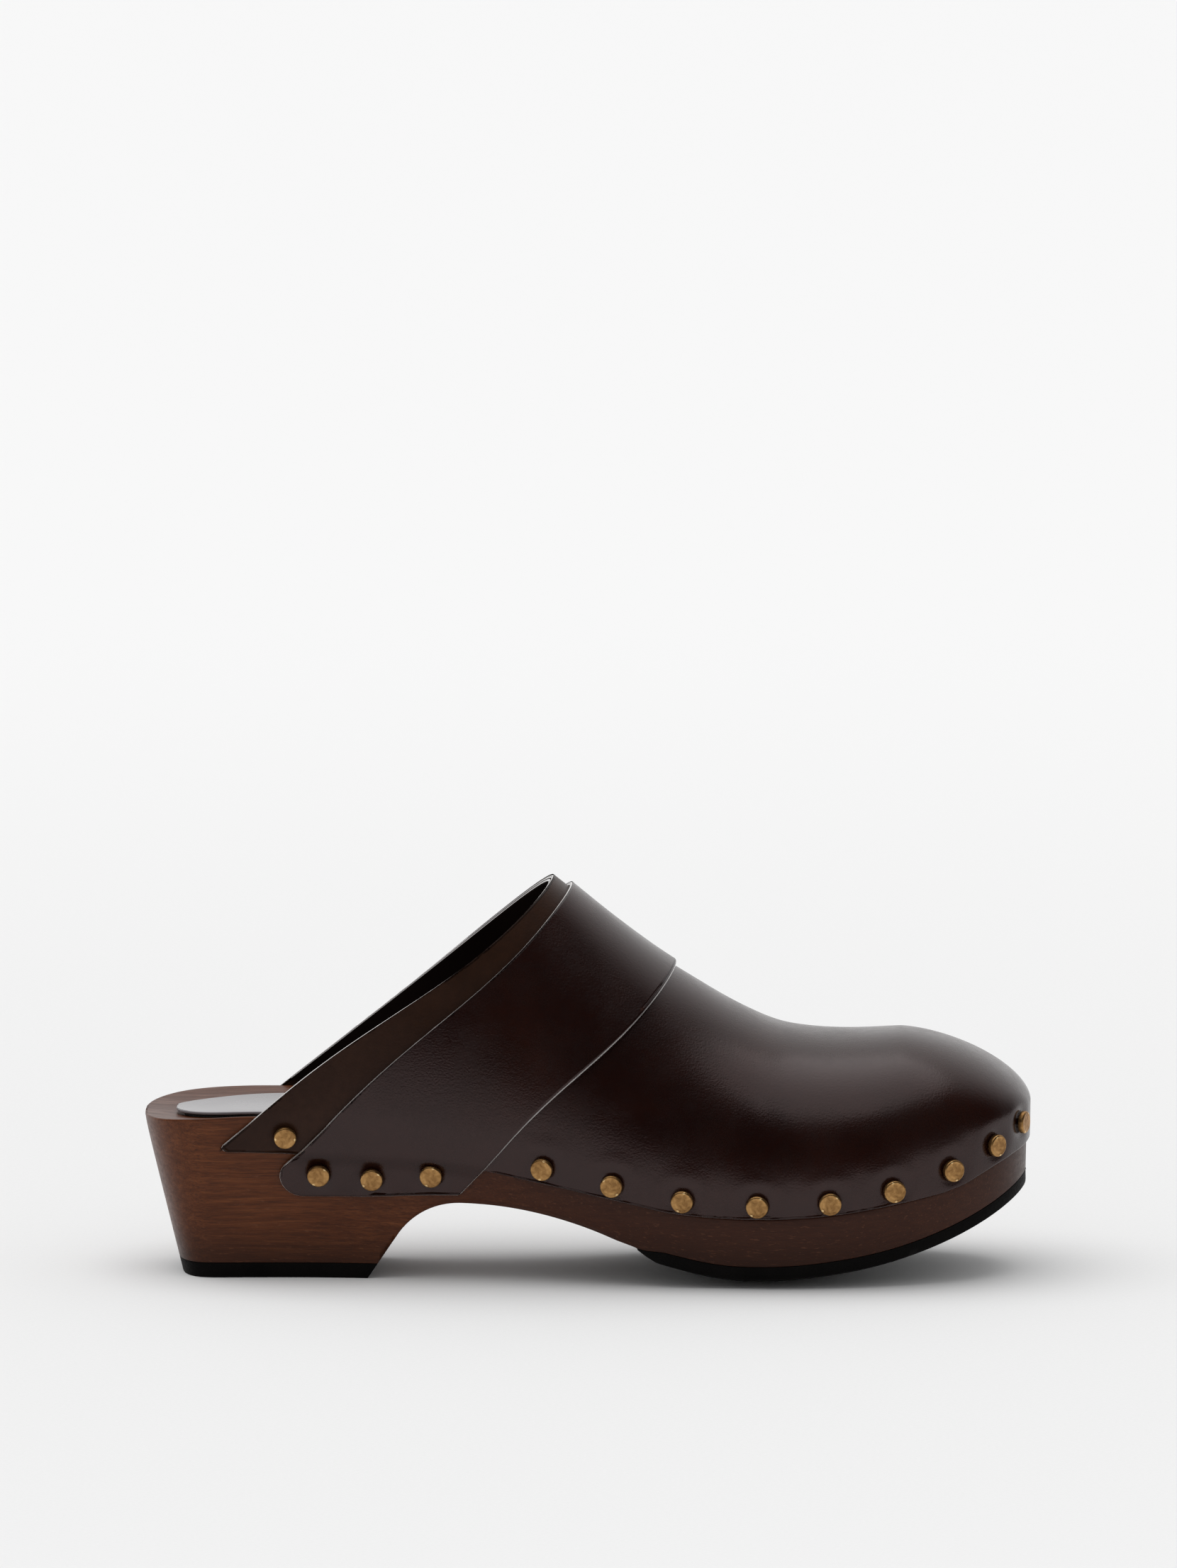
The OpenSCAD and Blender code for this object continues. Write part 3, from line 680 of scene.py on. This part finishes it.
# ---- materials ----
class Nodes:
    """Small helper round one material's node tree."""

    def __init__(self, name):
        self.mat = bpy.data.materials.new(name)
        self.mat.use_nodes = True
        self.tree = self.mat.node_tree
        self.shader = self.tree.nodes["Principled BSDF"]
        self.coords = self.add("ShaderNodeTexCoord").outputs["Object"]

    def add(self, kind, **settings):
        node = self.tree.nodes.new(kind)
        for key, value in settings.items():
            setattr(node, key, value)
        return node

    def link(self, source, target):
        self.tree.links.new(source, target)

    def stretch(self, scale, rotation=(0, 0, 0)):
        node = self.add("ShaderNodeMapping")
        node.inputs["Scale"].default_value = scale
        node.inputs["Rotation"].default_value = rotation
        self.link(self.coords, node.inputs["Vector"])
        return node.outputs["Vector"]

    def noise(self, vector, scale, detail=4.0, rough=0.5, warp=0.0):
        node = self.add("ShaderNodeTexNoise")
        node.inputs["Scale"].default_value = scale
        node.inputs["Detail"].default_value = detail
        node.inputs["Roughness"].default_value = rough
        node.inputs["Distortion"].default_value = warp
        self.link(vector, node.inputs["Vector"])
        return node.outputs["Fac"]

    def cells(self, vector, scale):
        node = self.add("ShaderNodeTexVoronoi", feature="DISTANCE_TO_EDGE")
        node.inputs["Scale"].default_value = scale
        self.link(vector, node.inputs["Vector"])
        return node.outputs["Distance"]

    def remap(self, value, low, high, out_low, out_high):
        node = self.add("ShaderNodeMapRange", interpolation_type="SMOOTHSTEP")
        limits = {"From Min": low, "From Max": high, "To Min": out_low, "To Max": out_high}
        for key, number in limits.items():
            node.inputs[key].default_value = number
        self.link(value, node.inputs["Value"])
        return node.outputs["Result"]

    def math(self, operation, a, b):
        node = self.add("ShaderNodeMath", operation=operation)
        for socket, value in zip(node.inputs, (a, b)):
            if isinstance(value, (int, float)):
                socket.default_value = value
            else:
                self.link(value, socket)
        return node.outputs["Value"]

    def ramp(self, value, stops):
        node = self.add("ShaderNodeValToRGB")
        elements = node.color_ramp.elements
        while len(elements) < len(stops):
            elements.new(0.5)
        for element, (position, colour) in zip(elements, stops):
            element.position = position
            element.color = (*colour, 1)
        self.link(value, node.inputs["Fac"])
        return node.outputs["Color"]

    def mix(self, factor, a, b):
        node = self.add("ShaderNodeMix", data_type="RGBA", blend_type="MIX")
        for key, value in ((0, factor), (6, a), (7, b)):
            socket = node.inputs[key]
            if isinstance(value, (int, float)):
                socket.default_value = value
            elif isinstance(value, tuple):
                socket.default_value = (*value, 1)
            else:
                self.link(value, socket)
        return node.outputs[2]

    def wear(self, low, high):
        """0 on open faces, 1 on convex edges."""
        point = self.add("ShaderNodeNewGeometry").outputs["Pointiness"]
        return self.remap(point, low, high, 0, 1)

    def bump(self, height, strength, distance, below=None):
        node = self.add("ShaderNodeBump")
        node.inputs["Strength"].default_value = strength
        node.inputs["Distance"].default_value = distance
        self.link(height, node.inputs["Height"])
        if below is not None:
            self.link(below, node.inputs["Normal"])
        return node.outputs["Normal"]

    def finish(self, colour, roughness, normal, **fixed):
        self.link(colour, self.shader.inputs["Base Color"])
        self.link(roughness, self.shader.inputs["Roughness"])
        self.link(normal, self.shader.inputs["Normal"])
        for key, value in fixed.items():
            self.shader.inputs[key.replace("_", " ")].default_value = value
        return self.mat


def upper_leather(name, dark, light, edge, sheen_rough, grain, spec=0.5, coat=0.1, wax=1.5,
                  metal=0.0, tint=(1.0, 0.8, 0.79)):
    """Polished calf: cloudy dye, fine grain, faint creases and lighter burnished edges."""
    n = Nodes(name)
    cloud = n.noise(n.coords, 24, 4, 0.55, 0.3)
    fine = n.noise(n.coords, 420, 4, 0.6)
    colour = n.ramp(cloud, [(0.3, dark), (0.7, light)])
    colour = n.mix(n.remap(fine, 0.3, 0.7, 0, 0.3), colour, tuple(c * 0.6 for c in dark))
    colour = n.mix(n.wear(0.55, 0.68), colour, edge)
    pebbles = n.noise(n.coords, 1700, 2, 0.5)
    creases = n.noise(n.stretch((70, 200, 200)), 3.4, 4, 0.55, 0.8)
    smear = n.noise(n.coords, 60, 3, 0.5)
    rough = n.math("ADD", n.remap(smear, 0.3, 0.7, sheen_rough - 0.02, sheen_rough + 0.04),
                   n.remap(fine, 0.3, 0.7, -0.02, 0.02))
    normal = n.bump(creases, 0.03 * grain, 0.0005)
    normal = n.bump(pebbles, 0.28 * grain, 0.00012, normal)
    return n.finish(colour, rough, normal, Specular_IOR_Level=spec, Coat_Weight=coat,
                    Coat_Roughness=0.15, Coat_IOR=wax, Metallic=metal, Specular_Tint=(*tint, 1.0))


def stained_wood():
    """Close-grained wood, stained red-brown, with fine streaks along the sole, and painted shade
    towards the forefoot and the lower edge.
    """
    n = Nodes("stained wood")
    along = n.stretch((9, 95, 150), (0, 0.03, 0.02))
    streak = n.noise(along, 5.5, 8, 0.62, 0.5)
    fibre = n.noise(n.stretch((30, 900, 900)), 4.0, 5, 0.6)
    cloud = n.noise(n.coords, 14, 4, 0.55, 0.6)
    rays = n.noise(n.stretch((120, 900, 520)), 3.0, 2, 0.5)
    colour = n.ramp(streak, [(0.25, (0.05, 0.0125, 0.003)), (0.5, (0.095, 0.0255, 0.0065)),
                              (0.75, (0.15, 0.046, 0.013))])
    colour = n.mix(n.remap(cloud, 0.35, 0.7, 0, 0.5), colour, (0.052, 0.0125, 0.0035))
    along_sole = n.add("ShaderNodeSeparateXYZ")
    n.link(n.coords, along_sole.inputs["Vector"])
    # Painted shade: the wood darkens towards the forefoot, where the wall tucks under and faces the
    # shadowed floor.
    forward = n.remap(along_sole.outputs["X"], 0.02, 0.1, 0, 0.72)
    colour = n.mix(forward, colour, (0.018, 0.0042, 0.0016))
    # Painted shade: the wood darkens towards its lower edge, where the wall turns down towards the
    # floor.
    low_painted_shade = n.remap(along_sole.outputs["Z"], 0.004, 0.02, 0.6, 0)
    colour = n.mix(low_painted_shade, colour, (0.012, 0.004, 0.002))
    colour = n.mix(n.remap(fibre, 0.45, 0.65, 0, 0.5), colour, (0.022, 0.0055, 0.0022))
    colour = n.mix(n.remap(rays, 0.6, 0.72, 0, 0.22), colour, (0.16, 0.062, 0.03))
    rough = n.remap(streak, 0.3, 0.7, 0.42, 0.32)
    normal = n.bump(streak, 0.12, 0.0003)
    normal = n.bump(fibre, 0.25, 0.00012, normal)
    return n.finish(colour, rough, normal, Specular_IOR_Level=0.18)


def black_rubber():
    n = Nodes("black rubber")
    cloud = n.noise(n.coords, 60, 4, 0.6)
    grit = n.noise(n.coords, 1600, 3, 0.6)
    colour = n.ramp(cloud, [(0.3, (0.0016, 0.0013, 0.0012)), (0.7, (0.0036, 0.003, 0.0028))])
    colour = n.mix(n.wear(0.52, 0.6), colour, (0.008, 0.007, 0.007))
    rough = n.remap(grit, 0.3, 0.7, 0.5, 0.68)
    return n.finish(colour, rough, n.bump(grit, 0.35, 0.00015), Specular_IOR_Level=0.05)


def antique_brass():
    """Brushed head, browned where polish has not reached."""
    n = Nodes("antique brass")
    brush = n.noise(n.stretch((2600, 120, 400)), 1.0, 4, 0.6)
    stain = n.noise(n.coords, 420, 5, 0.6, 0.5)
    colour = n.ramp(stain, [(0.3, (0.2, 0.1, 0.035)), (0.62, (0.42, 0.235, 0.088)),
                            (0.8, (0.54, 0.33, 0.14))])
    colour = n.mix(n.wear(0.53, 0.6), colour, (0.75, 0.53, 0.26))
    rough = n.math("ADD", n.remap(brush, 0.3, 0.7, 0.3, 0.44),
                   n.remap(stain, 0.3, 0.7, 0.08, -0.04))
    return n.finish(colour, rough, n.bump(brush, 0.3, 0.00006), Metallic=1.0)


def sock_leather():
    n = Nodes("sock leather")
    cloud = n.noise(n.coords, 40, 4, 0.55)
    pebbles = n.noise(n.coords, 1700, 3, 0.55)
    colour = n.ramp(cloud, [(0.3, (0.15, 0.138, 0.146)), (0.7, (0.21, 0.196, 0.205))])
    rough = n.remap(cloud, 0.3, 0.7, 0.24, 0.33)
    return n.finish(colour, rough, n.bump(pebbles, 0.12, 0.00015), Specular_IOR_Level=0.6,
                    Coat_Weight=0.3, Coat_Roughness=0.15)


def foam():
    n = Nodes("foam")
    holes = n.cells(n.coords, 2200)
    colour = n.ramp(holes, [(0.0, (0.02, 0.02, 0.02)), (0.4, (0.06, 0.06, 0.06))])
    return n.finish(colour, n.remap(holes, 0, 0.4, 0.95, 0.8), n.bump(holes, 0.4, 0.0002))


def floor_paper():
    """Matt white paper, with painted light that makes it a little lighter further from the clog."""
    n = Nodes("floor paper")
    fleck = n.noise(n.coords, 900, 3, 0.5)
    colour = n.ramp(fleck, [(0.3, (0.785, 0.785, 0.785)), (0.7, (0.805, 0.805, 0.805))])
    # Painted light: the paper brightens with distance from the clog so that the floor fades into the
    # bright wall.
    far_painted_light = n.add("ShaderNodeVectorMath", operation="LENGTH")
    n.link(n.coords, far_painted_light.inputs[0])
    colour = n.mix(n.remap(far_painted_light.outputs["Value"], 0.25, 1.7, 0, 1), colour, (0.845, 0.845, 0.845))
    rough = n.remap(fleck, 0.3, 0.7, 0.85, 0.95)
    return n.finish(colour, rough, n.bump(fleck, 0.02, 0.0001), Specular_IOR_Level=0.1)


# ---- assembly ----
POLISHED = upper_leather("polished brown leather", (0.006, 0.001, 0.0005), (0.015, 0.0036, 0.0019),
                         (0.025, 0.009, 0.006), 0.25, 1.4, spec=0.46, coat=0.04)
COLLAR = upper_leather("collar leather", (0.014, 0.0054, 0.0024), (0.03, 0.012, 0.0056),
                       (0.04, 0.018, 0.01), 0.36, 1.5, spec=0.18, coat=0.0)
LINING = upper_leather("lining leather", (0.003, 0.0013, 0.0009), (0.006, 0.0026, 0.0018),
                       (0.01, 0.005, 0.004), 0.6, 1.4, spec=0.06, coat=0.0)
CUT_EDGE = upper_leather("waxed cut edge", (0.02, 0.008, 0.006), (0.05, 0.025, 0.02),
                         (0.12, 0.08, 0.07), 0.2, 0.8, spec=1.0, coat=1.0, wax=2.8)
# Rounded cut edge of the collar and band: the polish is real, but its pale grey half-metal colour is a
# painted highlight for the white line along these edges.
LIP_PAINTED_HIGHLIGHT = upper_leather("polished lip with painted highlight", (0.36, 0.33, 0.32), (0.5, 0.47, 0.45),
                    (0.6, 0.56, 0.54), 0.4, 0.8, spec=1.0, coat=1.0, wax=2.8, metal=0.6,
                    tint=(1, 1, 1))
WOOD = stained_wood()
RUBBER = black_rubber()
BRASS = antique_brass()


def add_piece(obj, node, slot, *materials):
    """A piece that shows one CAD node; the first material is its face, the second its cut edges."""
    for material in materials:
        obj.data.materials.append(material)
    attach(obj, "root")
    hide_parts(node)
    return obj


add_piece(make_sole(), "wooden_sole", "stained_wood", WOOD)
add_piece(make_lift(), "heel_lift", "black_rubber", RUBBER)
add_piece(make_outsole(), "forefoot_outsole", "black_rubber", RUBBER)
add_piece(make_vamp(), "vamp", "upper_leather", POLISHED, CUT_EDGE)
add_piece(make_collar(), "collar_strap", "collar_leather", COLLAR, LIP_PAINTED_HIGHLIGHT)
add_piece(make_band(), "instep_band", "upper_leather", POLISHED, LIP_PAINTED_HIGHLIGHT)
add_piece(make_lining(), "vamp_lining", "lining_leather", LINING, CUT_EDGE)
sock = add_piece(make_sock(), "heel_sock", "sock_leather", sock_leather())
turns = np.random.default_rng(7).uniform(0, 2 * math.pi, len(PLACES))
for (node, foot, normal), turn in zip(PLACES, turns):
    add_piece(make_stud(node, foot, normal, float(turn)), node, "antique_brass", BRASS)
under_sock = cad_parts["sock_foam"]
under_sock.data.materials.clear()
under_sock.data.materials.append(foam())


# ---- floor, light and camera ----
FLOOR_HALF, FLOOR_CELLS = 14000, 24

# Light levels: fill on matt surfaces, wall behind the clog, key light and its width in degrees
FILL, WALL = 0.72, 0.925
KEY_FROM, KEY_LEVEL, KEY_SPREAD = (-0.2, 0.0, 1.0), 1.3, 74
# The room as gloss sees it: darkest and brightest direction, their levels, and the weight of up
ROOM_FROM, ROOM_LEVEL, ROOM_UP = (0.1, 0.95), (0.01, 0.95), 0.4

# Framing: size of the picture, its centre and scale, and where the lens stands
IMAGE_H = 2212
LOOK_AT = (92.75, 0, 50)
RISE_DEG, DISTANCE = 8.5, 5000
MM_PER_PIXEL = 0.2096
DROP = 93.5
SENSOR_MM, CLIP_END_M = 36, 100


def make_floor():
    """One wide flat sheet."""
    n = FLOOR_CELLS
    grid = np.linspace(-FLOOR_HALF, FLOOR_HALF, n + 1)
    points = [(x, y, 0) for x in grid for y in grid]
    corners = [i * (n + 1) + j for i in range(n) for j in range(n)]
    faces = [(k, k + n + 1, k + n + 2, k + 1) for k in corners]
    obj = make("floor", points, faces, smooth=False)
    obj.data.materials.append(floor_paper())


def sun(name, towards, strength, spread):
    """Broad, even light from one direction, like a softbox a long way off."""
    light = bpy.data.lights.new(name, "SUN")
    light.energy = strength
    light.angle = math.radians(spread)
    obj = bpy.data.objects.new(name, light)
    obj.rotation_euler = Vector(towards).to_track_quat("Z", "Y").to_euler()
    bpy.context.scene.collection.objects.link(obj)


def make_world():
    """Pale studio: a white wall for the camera, a graded room for gloss, an even fill for the rest."""
    world = bpy.data.worlds.new("studio")
    bpy.context.scene.world = world
    world.use_nodes = True
    tree = world.node_tree
    back = tree.nodes["Background"]
    coords = tree.nodes.new("ShaderNodeTexCoord")
    split = tree.nodes.new("ShaderNodeSeparateXYZ")
    grade = tree.nodes.new("ShaderNodeMapRange")
    seen = tree.nodes.new("ShaderNodeLightPath")
    for_gloss = tree.nodes.new("ShaderNodeMix")
    for_camera = tree.nodes.new("ShaderNodeMix")
    grade.interpolation_type = "SMOOTHSTEP"
    grade.inputs["From Min"].default_value, grade.inputs["From Max"].default_value = ROOM_FROM
    grade.inputs["To Min"].default_value, grade.inputs["To Max"].default_value = ROOM_LEVEL
    tree.links.new(coords.outputs["Generated"], split.inputs["Vector"])
    tilt = tree.nodes.new("ShaderNodeMath")
    tilt.operation = "MULTIPLY_ADD"
    tilt.inputs[1].default_value = ROOM_UP
    tree.links.new(split.outputs["Z"], tilt.inputs[0])
    tree.links.new(split.outputs["Y"], tilt.inputs[2])
    tree.links.new(tilt.outputs[0], grade.inputs["Value"])
    tree.links.new(seen.outputs["Is Glossy Ray"], for_gloss.inputs[0])
    for_gloss.inputs[2].default_value = FILL
    tree.links.new(grade.outputs["Result"], for_gloss.inputs[3])
    tree.links.new(seen.outputs["Is Camera Ray"], for_camera.inputs[0])
    tree.links.new(for_gloss.outputs[0], for_camera.inputs[2])
    for_camera.inputs[3].default_value = WALL
    tree.links.new(for_camera.outputs[0], back.inputs["Strength"])
    back.inputs["Color"].default_value = (1, 1, 1, 1)


def make_camera():
    """The clog sits below the middle of the frame, so the lens looks over it."""
    e = math.radians(RISE_DEG)
    over = math.atan(DROP / DISTANCE)
    data = bpy.data.cameras.new("camera")
    data.sensor_width = SENSOR_MM
    data.lens = data.sensor_width * DISTANCE * math.cos(over) / (MM_PER_PIXEL * IMAGE_H)
    data.clip_end = CLIP_END_M
    obj = bpy.data.objects.new("camera", data)
    place = Vector(LOOK_AT) + DISTANCE * Vector((0, -math.cos(e), math.sin(e)))
    obj.location = place * MM
    obj.rotation_euler = (math.pi / 2 - (e - over), 0, 0)
    bpy.context.scene.collection.objects.link(obj)
    bpy.context.scene.camera = obj


make_floor()
sun("key", KEY_FROM, KEY_LEVEL, KEY_SPREAD)
make_world()
make_camera()
bpy.context.scene.view_settings.view_transform = "Standard"
